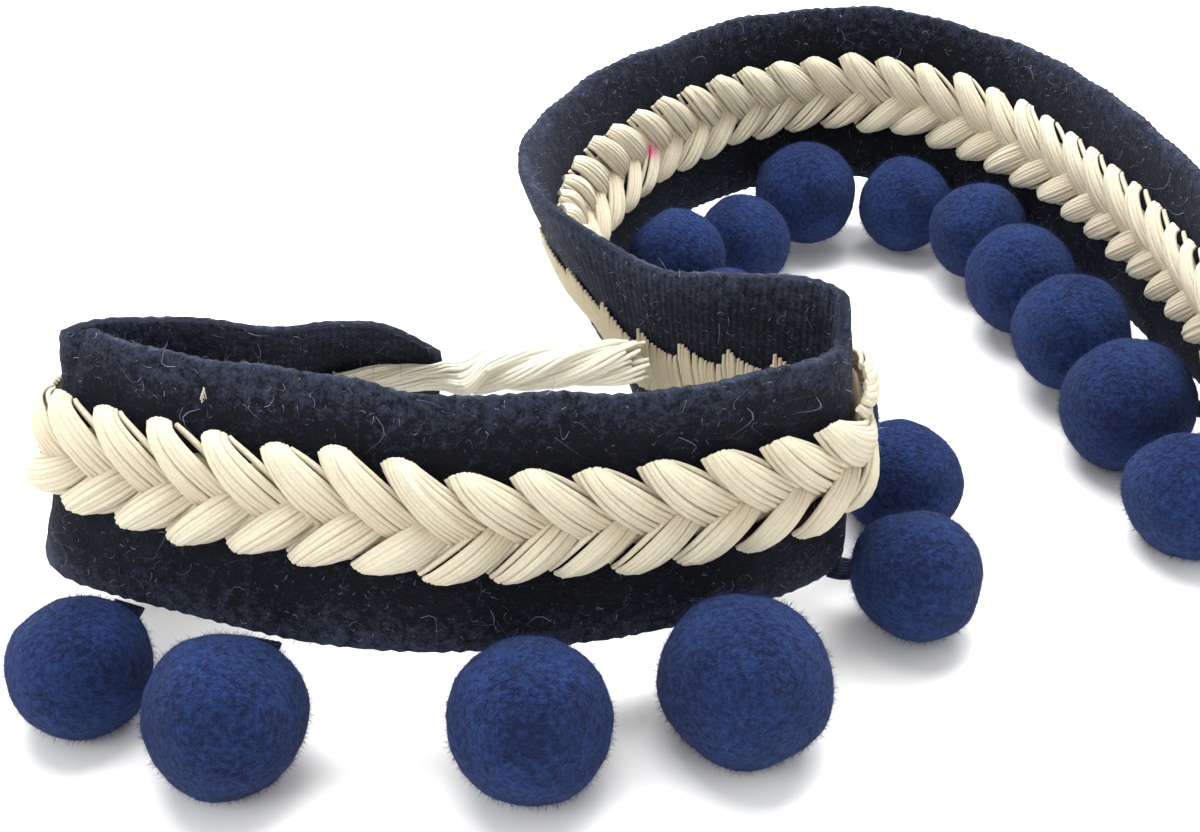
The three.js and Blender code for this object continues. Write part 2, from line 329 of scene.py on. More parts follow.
# %% Plies: one curve each, bent and then thickened
def start_plies(name, sizes):
    """A tree with one straight curve for each ply: tree, curves, sizes, w along it and ply."""
    tree, _, size = new_tree(name, sizes)
    total = size["Bundles"] * size["Plies"]
    dots = add(tree, "GeometryNodePoints", {"Count": total}).outputs[0]
    order = Number(add(tree, "GeometryNodeInputIndex").outputs[0])
    dots = store(tree, dots, "ply", order)
    line = add(tree, "GeometryNodeCurvePrimitiveLine", {"End": (1.0, 0.0, 0.0)}).outputs[0]
    line = add(tree, "GeometryNodeResampleCurve", {"Curve": line, "Count": size["Steps"]})
    copies = add(tree, "GeometryNodeInstanceOnPoints", {
        "Points": dots, "Instance": line.outputs[0]}).outputs[0]
    curves = add(tree, "GeometryNodeRealizeInstances", {0: copies}).outputs[0]
    curves = store(tree, curves, "w", spline_share(tree))
    return tree, curves, size, recall(tree, "w"), recall(tree, "ply")


def bend_plies(tree, curves, s, v, d):
    """Moves every point of the curves to its flat place."""
    return add(tree, "GeometryNodeSetPosition", {
        "Geometry": curves, "Position": vector(tree, s, v, d)}).outputs[0]


def thicken(tree, curves, radius, sides, marks, wound=False):
    """Curves to closed tubes. Marks are numbers to store, and a wound tube stores its turn."""
    curves = add(tree, "GeometryNodeSetCurveRadius", {
        "Curve": curves, "Radius": radius}).outputs[0]
    for name, number in marks.items():
        curves = store(tree, curves, name, number)
    ring = add(tree, "GeometryNodeCurvePrimitiveCircle", {"Resolution": sides, "Radius": 1.0})
    ring = ring.outputs[0]
    if wound:
        ring = store(tree, ring, "around", spline_share(tree))
    width = Number(add(tree, "GeometryNodeInputRadius").outputs[0])
    return add(tree, "GeometryNodeCurveToMesh", {
        "Curve": curves, "Profile Curve": ring, "Scale": width, "Fill Caps": True}).outputs[0]


# %% Run a tree
def grow(name, base, tree, sizes):
    """Runs a tree on a mesh and returns the plain mesh that comes out, in millimetres."""
    holder = bpy.data.objects.new(name + "_work", base)
    bpy.context.scene.collection.objects.link(holder)
    modifier = holder.modifiers.new(tree.name, "NODES")
    modifier.node_group = tree
    for item in tree.interface.items_tree:
        if item.in_out == "INPUT" and item.name in sizes:
            modifier[item.identifier] = sizes[item.name]
    holder.update_tag()
    ready = holder.evaluated_get(bpy.context.evaluated_depsgraph_get())
    mesh = bpy.data.meshes.new_from_object(ready)
    holder.modifiers.remove(modifier)
    bpy.data.objects.remove(holder)
    mesh.name = name
    return mesh


# %% Meshes from plain lists
def mesh_of(name, points, faces=(), edges=()):
    mesh = bpy.data.meshes.new(name)
    mesh.from_pydata([tuple(p) for p in points], edges, [tuple(f) for f in faces])
    mesh.update()
    return mesh


def places(mesh):
    flat = np.empty(len(mesh.vertices) * 3)
    mesh.vertices.foreach_get("co", flat)
    return flat.reshape(-1, 3)


def move_to(mesh, points):
    mesh.vertices.foreach_set("co", np.asarray(points, dtype=np.float64).ravel())
    mesh.update()


# %% Numbers, faces and normals of a mesh
def mark(mesh, name, values):
    """Stores one number for each point, for a tree or a material to read."""
    numbers = np.broadcast_to(np.asarray(values, dtype=np.float32), len(mesh.vertices))
    mesh.attributes.new(name, "FLOAT", "POINT").data.foreach_set("value", numbers.copy())


def ring_faces(count, around):
    """Faces of a closed body made of count rings, each with the same number of points."""
    faces = []
    for low in range(0, (count - 1) * around, around):
        high = low + around
        for j in range(around):
            k = (j + 1) % around
            faces.append((low + j, low + k, high + k, high + j))
    last = (count - 1) * around
    return faces + [tuple(range(around))[::-1], tuple(range(last, last + around))]


def outward(mesh):
    """Turns the faces so that they all point out of the closed mesh."""
    points = places(mesh)
    mesh.calc_loop_triangles()
    corners = np.array([t.vertices[:] for t in mesh.loop_triangles])
    a, b, c = (points[corners[:, i]] for i in range(3))
    if np.einsum("ij,ij->i", a, np.cross(b, c)).sum() < 0:
        mesh.flip_normals()


# %% Finished pieces
def finish_piece(name, mesh, material, nodes=()):
    """Puts a mesh in millimetres into the scene in metres, riding on the part's body."""
    move_to(mesh, places(mesh) * MM)
    mesh.materials.clear()
    mesh.materials.append(material)
    mesh.polygons.foreach_set("use_smooth", np.ones(len(mesh.polygons), dtype=bool))
    piece = bpy.data.objects.new(name, mesh)
    bpy.context.scene.collection.objects.link(piece)
    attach(piece, "root")
    if nodes:
        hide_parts(*nodes)
    mesh.calc_loop_triangles()
    print(name, len(mesh.loop_triangles), "triangles")
    return piece


print("helpers ready:", ", ".join(f.__name__ for f in (start_plies, thicken, grow, mark)))

# %% [markdown]
# ## Colours and finishes
# Cotton, wool and yarn are matt, and they differ in their fibres more than in their colour. A
# photographed cloth could be wrapped round each piece, but it would blur close up and show seams.
# A colour is read off a picture as it looks on a screen, and Blender wants it in linear light.
# Each finish is then mixed from two or three such colours by noise at the yarn's own scale, with a
# bump for the yarn and a soft sheen for its nap. Stored numbers also paint light and shade into
# some of them: painted shade on the cream yarn, painted light on the rope, and a painted highlight
# along the tape's selvedges.


# %% Colours and a blank material
def screen(red, green, blue):
    return tuple((c / 255) ** 2.2 for c in (red, green, blue)) + (1.0,)


def new_material(name, roughness, sheen, sheen_tint, sheen_roughness=0.45):
    """An empty matt cloth finish: returns the material, its tree and its shader."""
    material = bpy.data.materials.new(name)
    material.use_nodes = True
    tree = material.node_tree
    shader = tree.nodes["Principled BSDF"]
    shader.inputs["Roughness"].default_value = roughness
    shader.inputs["Specular IOR Level"].default_value = 0.25
    shader.inputs["Sheen Weight"].default_value = sheen
    shader.inputs["Sheen Roughness"].default_value = sheen_roughness
    shader.inputs["Sheen Tint"].default_value = sheen_tint
    return material, tree, shader


def noise(tree, place, scale, detail=3.0, roughness=0.6):
    node = add(tree, "ShaderNodeTexNoise", {
        "Vector": place, "Scale": scale, "Detail": detail, "Roughness": roughness,
    })
    return Number(node.outputs[0])


def blend(tree, share, colour_a, colour_b):
    node = add(tree, "ShaderNodeMix", {0: share}, data_type="RGBA", clamp_factor=True)
    for slot, colour in ((node.inputs[6], colour_a), (node.inputs[7], colour_b)):
        if isinstance(colour, bpy.types.NodeSocket):
            tree.links.new(colour, slot)
        else:
            slot.default_value = colour
    return node.outputs[2]


def attribute(tree, name):
    return Number(add(tree, "ShaderNodeAttribute", attribute_name=name).outputs["Fac"])


def bump(tree, height, distance, strength=1.0):
    node = add(tree, "ShaderNodeBump", {
        "Height": height, "Distance": distance, "Strength": strength,
    })
    return node.outputs[0]


# %% Navy cotton
navy, tree, shader = new_material("navy_cotton", 0.95, 0.22, screen(120, 128, 160))
strip = add(tree, "ShaderNodeUVMap", uv_map="strip").outputs[0]
along = Number(add(tree, "ShaderNodeSeparateXYZ", {0: strip}).outputs[0])
across = Number(add(tree, "ShaderNodeSeparateXYZ", {0: strip}).outputs[1])
knots = noise(tree, strip, 95.0, 4.0, 0.7)
lint = noise(tree, strip, 330.0, 3.0, 0.7)
patches = noise(tree, strip, 17.0, 3.0)
back = (across * 40.0 - 10.0).least(0.0).most(1.0)
ribs = ((along * 830.0 + knots * 3.0).wave() * 0.5 + 0.5) * back
# Painted highlight: the cloth is made lighter near the selvedges on both faces, where the nap
# catches the light.
edge = ((across - back * 0.5).math("ABSOLUTE") * 22.0 - 1.55).least(0.0).most(1.0) ** 1.5
light = knots * 1.7 + lint * 1.3 + patches * 0.6 + ribs * 0.12 + edge * 0.4 - 1.9
colour = blend(tree, light.least(0.0).most(1.0), screen(9, 12, 19), screen(66, 75, 96))
tree.links.new(colour, shader.inputs["Base Color"])
relief = knots * 0.6 + lint * 0.35 + ribs * 0.16
tree.links.new(bump(tree, relief, 0.0006, 0.9), shader.inputs["Normal"])

# %% Cream yarn
cream, tree, shader = new_material("cream_yarn", 0.85, 0.15, screen(255, 250, 235))
# This attribute is painted shade: it turns the cream darker and tan where the yarn would lie in
# shadow.
painted_shade = attribute(tree, "painted_shade")
ply_shade = attribute(tree, "shade")
way_along, way_around = attribute(tree, "along") * 1.2, attribute(tree, "around") * 2.5
way = vector(tree, way_along, way_around, ply_shade * 40.0)
fibre = noise(tree, way, 3.0, 4.0, 0.65)
object_place = add(tree, "ShaderNodeTexCoord").outputs["Object"]
stain = noise(tree, object_place, 160.0, 2.0)
# Painted shade and real random stains together darken the cream toward tan.
shade_and_stain = (painted_shade * 0.85 + stain * 0.35 - 0.12).least(0.0).most(1.0)
colour = blend(tree, shade_and_stain, screen(221, 213, 190), screen(168, 146, 110))
colour = blend(tree, ((fibre - 0.42) * 1.6).least(0.0).most(0.5), colour, screen(196, 184, 157))
colour = blend(tree, ply_shade * 0.25, colour, screen(203, 193, 168))
# Painted light: the rope is brightened toward near white, as where it faces up into the light.
colour = blend(tree, attribute(tree, "painted_light"), colour, screen(250, 246, 228))
pink = attribute(tree, "pink")
colour = blend(tree, pink, colour, screen(238, 120, 168))
tree.links.new(colour, shader.inputs["Base Color"])
shader.inputs["Subsurface Weight"].default_value = 0.12
shader.inputs["Subsurface Radius"].default_value = (0.0012, 0.0008, 0.0005)
tree.links.new(bump(tree, fibre, 0.00025, 0.6), shader.inputs["Normal"])

# %% Blue felt
felt, tree, shader = new_material("blue_felt", 1.0, 0.3, screen(100, 120, 175), 0.5)
object_place = add(tree, "ShaderNodeTexCoord").outputs["Object"]
clumps = noise(tree, object_place, 1700.0, 4.0, 0.7)
cloud = noise(tree, object_place, 160.0, 3.0)
fibre_shade = attribute(tree, "shade")
light = (clumps * 1.4 + cloud * 0.6 + fibre_shade * 0.6 - 1.02).least(0.0).most(1.0)
colour = blend(tree, light, screen(11, 22, 56), screen(49, 83, 150))
tree.links.new(colour, shader.inputs["Base Color"])
tree.links.new(bump(tree, clumps, 0.0011, 0.9), shader.inputs["Normal"])

# %% Fine loose fibres
loose, tree, shader = new_material("loose_fibre", 0.9, 0.4, screen(170, 178, 205))
fibre_shade = attribute(tree, "shade")
colour = blend(tree, fibre_shade, screen(34, 40, 60), screen(150, 154, 172))
tree.links.new(colour, shader.inputs["Base Color"])
print("finishes:", [m.name for m in (navy, cream, felt, loose)])

# %% [markdown]
# ## The tape
# The real tape is a thick, brushed cotton knit. It could be a plane with a Solidify modifier, but
# that has hard corners where the selvedges are round. It is one closed sheet here: rings of
# points round its section, laid at even steps along its length. The selvedges waver a little,
# the faces are rippled by the knit, and a flat UV map carries the cloth's pattern.


# %% Tape sheet
RING_GAP = 0.7
RING_POINTS = 60
FLAT_FACES = 0.35
ROUND_EDGES = 0.92


def ripple(s, v):
    """The knit's unevenness in millimetres: small waves that never quite repeat."""
    slow = np.sin(s * 0.9 + 2.1 * np.sin(v * 0.7)) * np.sin(v * 1.1 + s * 0.23)
    fast = np.sin(s * 4.3 + 1.7 * np.sin(v * 2.9)) * np.sin(v * 3.7 + 0.8 * np.sin(s * 2.2))
    return 0.05 * slow + 0.06 * fast


def lower_edge(s):
    """How far down the wavering lower selvedge is."""
    return -TAPE_WIDTH / 2 + 0.2 + 0.2 * np.sin(s / 4.1 + 1)


def upper_edge(s):
    """How far up the upper selvedge is. The raw end is cut on a slant."""
    top = TAPE_WIDTH / 2 - 0.25 + 0.2 * np.sin(s / 5.3) * np.sin(s / 2.1)
    return top - CUT_DEPTH * np.clip(1 - s / CUT_LENGTH, 0, 1) ** 1.8


def make_tape():
    """Flat points and faces. Each ring runs up the tape's front and down its back."""
    turns = np.linspace(0, 2 * math.pi, RING_POINTS, endpoint=False)
    lines = np.arange(0, LENGTH + RING_GAP / 2, RING_GAP).clip(0, LENGTH)
    s, share = np.meshgrid(lines, np.cos(turns), indexing="ij")
    side = np.sin(turns)
    face = np.sign(side) * np.abs(side) ** FLAT_FACES
    top, low = upper_edge(s), lower_edge(s)
    v = (top + low) / 2 + (top - low) / 2 * np.sign(share) * np.abs(share) ** ROUND_EDGES
    rough = ripple(s, v) + 0.05 * np.sin(v * 11 + s)
    d = face * (TAPE_THICK / 2 + rough)
    waver = 0.1 * np.sin(s * 5.1) + 0.08 * np.sin(s * 8.7)
    v = v + np.where(np.abs(share) > 0.97, waver, 0)
    points = np.stack([s, v, d], -1).reshape(-1, 3)
    return points, ring_faces(len(lines), RING_POINTS)


# %% Lay the tape
tape_flat, tape_faces = make_tape()
tape_mesh = mesh_of("tape_cloth", tape_flat, tape_faces)
strip_map = tape_mesh.uv_layers.new(name="strip")
corner_of = np.empty(len(tape_mesh.loops), dtype=int)
tape_mesh.loops.foreach_get("vertex_index", corner_of)
girth = np.where(tape_flat[:, 2] < 0, 2 * TAPE_WIDTH - tape_flat[:, 1], tape_flat[:, 1])
strip_uv = np.stack([tape_flat[corner_of, 0], girth[corner_of]], 1) * MM * 10
strip_map.data.foreach_set("uv", strip_uv.ravel())
move_to(tape_mesh, lay(tape_flat))
outward(tape_mesh)
tape_cloth = finish_piece("tape_cloth", tape_mesh, navy, ["tape"])

# %% [markdown]
# ## The plait
# Each lobe of the plait is a bundle of soft plies. It comes out of the tape at the plait's edge,
# swells into a leaf, and dives under the next lobe of the other row. Both rows lean the same
# way, half a lobe apart. One lobe could be modelled and repeated, but then all would be alike.
# A ply is a curve from the edge to the middle, bent by a rule that depends on its lobe and on
# its place in the bundle, so Geometry Nodes can make all of them at once: one curve for each
# ply, bent by sums, then given its thickness.

# %% Plait tree
plait_sizes = {
    "Bundles": 122, "Plies": 10, "Steps": 11, "Start": -4.0, "Pitch": PLAIT_PITCH,
    "Half width": PLAIT_WIDTH / 2 - 0.35, "Height": 2.1, "Ply radius": 0.33, "Seed": 7,
}
plait_tree, curves, size, w, ply = start_plies("plait_bundles", plait_sizes)

# %% Each ply's lobe, its row and its place t in the lobe
lobe = (ply / size["Plies"]).whole()
row = 1.0 - lobe.rest(2.0) * 2.0
upper = row * 0.5 + 0.5
t = ply.rest(size["Plies"]) / (size["Plies"] - 1.0)
t = t + random(plait_tree, -0.03, 0.03, ply, size["Seed"])
slip = random(plait_tree, -0.25, 0.25, lobe, size["Seed"] + 1)
wide = random(plait_tree, 0.94, 1.06, lobe, size["Seed"] + 2)
tall = random(plait_tree, 0.88, 1.1, lobe, size["Seed"] + 3)
begin = size["Start"] + lobe * size["Pitch"] * 0.5 + slip

# %% Bend every ply from its tip at the edge, past a bend, to its end in the middle
tip_s = t * 2.7 - 0.5
tip_v = size["Half width"] * wide - (t * 2.0 - 1.0) ** 2.0 * 0.6 - (1.0 - t) * 0.3
bend_s = 3.15 - upper * 1.85 + (1.6 + upper * 1.25) * t
bend_v = 0.8 + (4.3 - upper * 0.85) * t
end_s = 5.5 + upper * 0.1 + (3.1 + upper * 0.7) * t
end_v = (1.5 + upper * 0.7) * t - 0.6 - upper * 1.8
one = 1.0 - w
at_s = one * one * tip_s + w * one * 2.0 * bend_s + w * w * end_s
at_v = one * one * tip_v + w * one * 2.0 * bend_v + w * w * end_v
crown = (1.0 - (t * 2.0 - 1.0) ** 2.0 * 0.93).least(0.02) ** 0.5
swell = ((w * 0.97 + 0.015) ** (0.66 + upper * 0.16) * math.pi).wave().least(0.0) ** 0.48
jitter = random(plait_tree, -0.08, 0.1, ply, size["Seed"] + 4)
at_d = 0.4 + size["Height"] * tall * swell * crown + jitter
bent = bend_plies(plait_tree, curves, begin + at_s, at_v * row, at_d)

# %% Give the plies their thickness
thick = size["Ply radius"] * random(plait_tree, 0.88, 1.1, ply, size["Seed"] + 5)
tubes = thicken(plait_tree, bent, thick * (0.8 + (w * math.pi).wave() * 0.2), 6, {
    "along": w * 9.0,
    # Painted shade: each ply turns darker and tan toward its inner end, where it dives under the
    # next lobe.
    "painted_shade": ((w - 0.5) * 1.5).least(0.0) ** 1.3,
    "shade": random(plait_tree, 0.0, 1.0, ply, size["Seed"] + 6),
}, wound=True)
close_tree(plait_tree, tubes, cream)
print("plait tree:", len(plait_tree.nodes), "nodes")


# %% Lay the plait
FREE_FORWARD = 10.8
FREE_RISE = 6.4
FREE_DROP = 2.4


def sway(world, s):
    """The free end drops off the tape, and bends forward and up toward its tip."""
    gone = np.clip(-s / PLAIT_FREE, 0, 1.15)
    world[:, 1] -= FREE_FORWARD * gone ** 2
    world[:, 2] += FREE_RISE * gone ** 2 - FREE_DROP * smooth(gone * 5) - 0.6 * gone
    return world


def lay_plait(flat):
    """As lay, but the plait sits above the tape's middle, and sags toward the raw end."""
    s, v, d = np.asarray(flat).T
    sag = 1 - smooth(s / LOOSE_LENGTH)
    v = PLAIT_RISE - LOOSE_SAG * sag + v * (1 - 0.25 * sag)
    d = TAPE_THICK / 2 + SEAT + d * (1 - 0.38 * sag)
    return sway(lay(np.stack([s, v, d], 1)), s)


def keep_between(mesh, low, high):
    """Presses the flat mesh in until it reaches from low to high along the strip."""
    points = places(mesh)
    points[:, 0] = points[:, 0].clip(low, high)
    move_to(mesh, points)


# %% Grow the plait, with its small pink mark
PINK_MARK = (199.5, -0.5, 2.0)
PINK_SPREAD = (1.1, 0.9, 2.0)
PLAIT_REACH = (0.6, LENGTH - 0.8)
plait_mesh = grow("plait_bundles", mesh_of("plait_seed", [(0, 0, 0)]), plait_tree, plait_sizes)
plait_flat = places(plait_mesh)
print("plait from", plait_flat.min(0).round(1), "to", plait_flat.max(0).round(1))
keep_between(plait_mesh, *PLAIT_REACH)
mark(plait_mesh, "pink", np.exp(-(((plait_flat - PINK_MARK) / PINK_SPREAD) ** 2).sum(1)))
move_to(plait_mesh, lay_plait(places(plait_mesh)))
finish_piece("plait_bundles", plait_mesh, cream, ["plait"])

# %% [markdown]
# The lobes are sewn round a soft core, which shows between them. Its cream is tinted toward tan all
# over by painted shade, as the shadow in the gaps between the lobes. It could be left out, but then
# the dark tape would show through every gap. It is a low closed body under the whole plait, made of
# plain rings, because almost none of it can be seen.

# %% Core of the plait
CORE_HALF_WIDTH = 2.7
core_s = np.arange(2.0, LENGTH - 1.2, 1.4)
core_turn = np.linspace(0, 2 * math.pi, 12, endpoint=False)
core_flat = np.array([
    (s, (CORE_HALF_WIDTH + 0.25 * math.sin(s * 2.24)) * math.cos(turn), 0.62 + 0.5 * math.sin(turn))
    for s in core_s for turn in core_turn])
core_faces = ring_faces(len(core_s), len(core_turn))
core_mesh = mesh_of("plait_core", lay_plait(core_flat), core_faces)
outward(core_mesh)
# Painted shade: the whole core is tinted tan, as the shadow between the lobes.
mark(core_mesh, "painted_shade", 0.75)
mark(core_mesh, "along", core_flat[:, 0] * 3)
mark(core_mesh, "around", core_flat[:, 1])
finish_piece("plait_core", core_mesh, cream)

# %% [markdown]
# ## The free end of the plait
# Past the raw end the plait's bundles run on as a soft twisted rope with a frayed tip. A twisted
# tube would give its outline, but not its loose plies. Here each ply goes round the middle of its
# bundle, and each bundle goes round the middle of the rope. One bundle starts on the tape's
# front and three on its back, so that they come round the raw end from both sides.

# %% Rope tree
rope_sizes = {
    "Bundles": 4, "Plies": 12, "Steps": 46, "From": 13.0, "Length": PLAIT_FREE + 14.2,
    "Rope": 1.25, "Bundle": 0.95, "Twist": 8.0, "Ply radius": 0.3, "Seed": 17,
}
rope_tree, curves, size, w, ply = start_plies("rope_bundles", rope_sizes)

# %% Wind the plies into bundles and the bundles into a rope
bundle = (ply / size["Plies"]).whole()
fray = random(rope_tree, 0.93, 1.0, ply, size["Seed"]) - random(
    rope_tree, 0.0, 0.03, bundle, size["Seed"] + 1)
run = w * size["Length"] * fray
wound = run * size["Twist"] / size["Length"]
turn_big = bundle * (2 * math.pi / rope_sizes["Bundles"]) + wound + 0.6
turn_small = ply.rest(size["Plies"]) * (2 * math.pi / rope_sizes["Plies"]) + run * 0.16 + bundle
loosen = 1.0 + ((w - 0.8) * 5.0).least(0.0) ** 2.0 * 0.12
off_small = size["Bundle"] * random(rope_tree, 0.72, 1.08, ply, size["Seed"] + 2) * loosen
wave = (run * 0.8 + ply * 1.7).wave() * 0.07
at_v = turn_big.swing() * size["Rope"] + (turn_small.swing() + wave) * off_small
at_d = turn_big.wave() * size["Rope"] + (turn_small.wave() + wave) * off_small
bent = bend_plies(rope_tree, curves, size["From"] - run, at_v * 1.1, at_d)
thick = size["Ply radius"] * random(rope_tree, 0.85, 1.15, ply, size["Seed"] + 3)
tubes = thicken(rope_tree, bent, thick * (1.0 - ((w - 0.94) * 12.0).least(0.0) ** 2.0), 6, {
    "bundle": bundle,
    # Painted light: the rope's bundles are brightened, a little less for each later bundle.
    "painted_light": 0.75 - bundle * 0.05,
    "along": run * 0.9,
    # Painted shade along the rope, kept mostly below zero so that it clears.
    "painted_shade": (w * 30.0 + bundle).wave() * 0.1 - 0.15,
    "shade": random(rope_tree, -1.2, 0.5, ply, size["Seed"] + 4),
}, wound=True)
close_tree(rope_tree, tubes, cream)
print("rope tree:", len(rope_tree.nodes), "nodes")

# %% Grow and lay the rope
rope_mesh = grow("plait_free_end", mesh_of("rope_seed", [(0, 0, 0)]), rope_tree, rope_sizes)
s, v, d = places(rope_mesh).T
bundle = np.empty(len(s), dtype=np.float32)
rope_mesh.attributes["bundle"].data.foreach_get("value", bundle)
held = smooth((s + 2.5) / 5)
behind = np.where(bundle > 0.5, smooth((s + 5.5) / 4.5), 0)
low = PLAIT_RISE - LOOSE_SAG + behind * (4.6 + np.clip(s, 0, 13) * 0.08)
in_front = TAPE_THICK / 2 + SEAT + 1.45 - 0.35 * held
deep = in_front * (1 - behind) - behind * (TAPE_THICK / 2 + 0.75)
narrow = 1 - 0.05 * behind * np.clip(s - 4, 0, 13)
rope_flat = np.stack([s, low + v * (1 + 0.3 * held) * narrow, deep + d * (1 - 0.6 * held)], 1)
move_to(rope_mesh, sway(lay(rope_flat), s))
finish_piece("plait_free_end", rope_mesh, cream)

# %% [markdown]
# ## The band on the back
# On the back of the tape the plait's yarn shows as a flat band. Each stitch leaves a pointed
# tooth on the band's upper side. A bump on a flat strip could draw the stitches, but not the
# teeth. The same idea as for the plait serves again: one curve for each ply, its upper end cut
# by a saw-tooth rule.

# %% Band tree
STITCH_GAP = 0.42
band_sizes = {
    "Bundles": 1, "Plies": int((LENGTH - 3) / STITCH_GAP), "Steps": 6, "Gap": STITCH_GAP,
    "Pitch": PLAIT_PITCH, "Half width": BAND_WIDTH / 2, "Tooth": TOOTH_HEIGHT, "Slant": 1.2,
    "Ply radius": 0.36, "Seed": 3,
}
band_tree, curves, size, w, ply = start_plies("band_stitches", band_sizes)

# %% Stretch every ply from the band's lower side to its tooth
top_s = ply * size["Gap"] + 1.5 + random(band_tree, -0.15, 0.15, ply, size["Seed"])
phase = (ply * size["Gap"] + 0.5).rest(size["Pitch"]) / size["Pitch"]
peak = (phase / 0.9).most(1.0) ** 2.2 * 1.1 - (phase - 0.9).least(0.0) * 11.0 - 0.25
top_v = size["Half width"] + (peak - 0.6) * size["Tooth"]
low_v = random(band_tree, -0.35, 0.1, ply, size["Seed"] + 1) - size["Half width"]
at_v = low_v.to(top_v, w)
at_s = top_s - size["Slant"] * (1.0 - w) ** 1.3
arch = (w * math.pi).wave().least(0.0) ** 0.5
at_d = -1.22 - arch * 0.3 - random(band_tree, 0.0, 0.1, ply, size["Seed"] + 2)
bent = bend_plies(band_tree, curves, at_s, at_v, at_d)
tubes = thicken(band_tree, bent, size["Ply radius"] * (0.55 + 0.45 * arch), 4, {
    "along": w * 8.0,
    # Painted shade, even over the whole band.
    "painted_shade": 0.3,
    "shade": random(band_tree, 0.2, 1.0, ply, size["Seed"] + 3),
})
close_tree(band_tree, tubes, cream)
print("band tree:", len(band_tree.nodes), "nodes")

# %% Grow and lay the band
BAND_REACH = (9.0, LENGTH - 0.6)
band_mesh = grow("back_stitches", mesh_of("band_seed", [(0, 0, 0)]), band_tree, band_sizes)
keep_between(band_mesh, *BAND_REACH)
move_to(band_mesh, lay(places(band_mesh)))
finish_piece("back_stitches", band_mesh, cream, ["back_band"])

# %% [markdown]
# ## Fuzz
# Felt and brushed cotton are both covered in short bent fibres. Hair particles could grow them,
# but they are lost when the model is exported. A fibre is a thin three-sided cone here, bent to
# one side. One tree scatters fibres over any mesh, tips each one between lying flat and
# standing up, and gives each its own shade.


# %% Fuzz tree
def fuzz_tree(name, sizes, material, keep_base):
    tree, base, size = new_tree(name, sizes)
    cone = add(tree, "GeometryNodeMeshCone", {
        "Vertices": 3, "Side Segments": size["Joints"], "Radius Top": 0.0,
        "Radius Bottom": size["Thickness"], "Depth": 1.0,
    }).outputs[0]
    place = add(tree, "ShaderNodeSeparateXYZ", {
        0: add(tree, "GeometryNodeInputPosition").outputs[0]})
    height = Number(place.outputs[2])
    curl = vector(tree, height ** 2.0 * size["Curl"], (height * 4.0).wave() * size["Curl"] * 0.3,
                  height ** 2.0 * size["Curl"] * -0.35)
    hair = add(tree, "GeometryNodeSetPosition", {"Geometry": cone, "Offset": curl}).outputs[0]
    spread = add(tree, "GeometryNodeDistributePointsOnFaces", {
        "Mesh": base, "Density": size["Density"] * recall(tree, "open"), "Seed": size["Seed"]})
    order = Number(add(tree, "GeometryNodeInputIndex").outputs[0])
    dots = store(tree, spread.outputs[0], "shade", random(tree, 0.0, 1.0, order, size["Seed"]))
    aside = add(tree, "FunctionNodeRandomValue", {
        "Min": (-1.0, -1.0, -1.0), "Max": (1.0, 1.0, 1.0), "ID": order,
        "Seed": size["Seed"] + 1}, data_type="FLOAT_VECTOR").outputs[0]
    lift = random(tree, 0.0, 1.0, order, size["Seed"] + 2) ** 2.0
    lift = size["Lift low"].to(size["Lift high"], lift)
    raised = add(tree, "ShaderNodeVectorMath", {
        0: spread.outputs["Normal"], "Scale": lift}, operation="SCALE").outputs[0]
    way = add(tree, "ShaderNodeVectorMath", {0: raised, 1: aside}, operation="ADD").outputs[0]
    turned = add(tree, "FunctionNodeAlignRotationToVector", {"Vector": way}, axis="Z")
    roll = add(tree, "FunctionNodeAxisAngleToRotation", {
        "Axis": (0.0, 0.0, 1.0), "Angle": random(tree, 0.0, 6.28, order, size["Seed"] + 3)})
    turned = add(tree, "FunctionNodeRotateRotation", {
        "Rotation": turned.outputs[0], "Rotate By": roll.outputs[0]}, rotation_space="LOCAL")
    length = random(tree, 0.0, 1.0, order, size["Seed"] + 4) ** 1.5
    length = size["Shortest"].to(size["Longest"], length)
    hairs = add(tree, "GeometryNodeInstanceOnPoints", {
        "Points": dots, "Instance": hair, "Rotation": turned.outputs[0],
        "Scale": vector(tree, length, length, length)}).outputs[0]
    if keep_base:
        join = tree.nodes.new("GeometryNodeJoinGeometry")
        tree.links.new(base, join.inputs[0])
        tree.links.new(hairs, join.inputs[0])
        hairs = join.outputs[0]
    close_tree(tree, hairs, material)
    return tree


# %% [markdown]
# ## The pompoms
# A pompom is wool felted into a ball, so no two are alike. They could be sculpted one by one, but
# a table and a rule keep each at its measured size. Each starts as a ball that is pushed in and
# out by a few slow waves, with a longer end where it has been pulled. It has a small flat spot
# where it rests. The fuzz tree then covers it with short fibres.

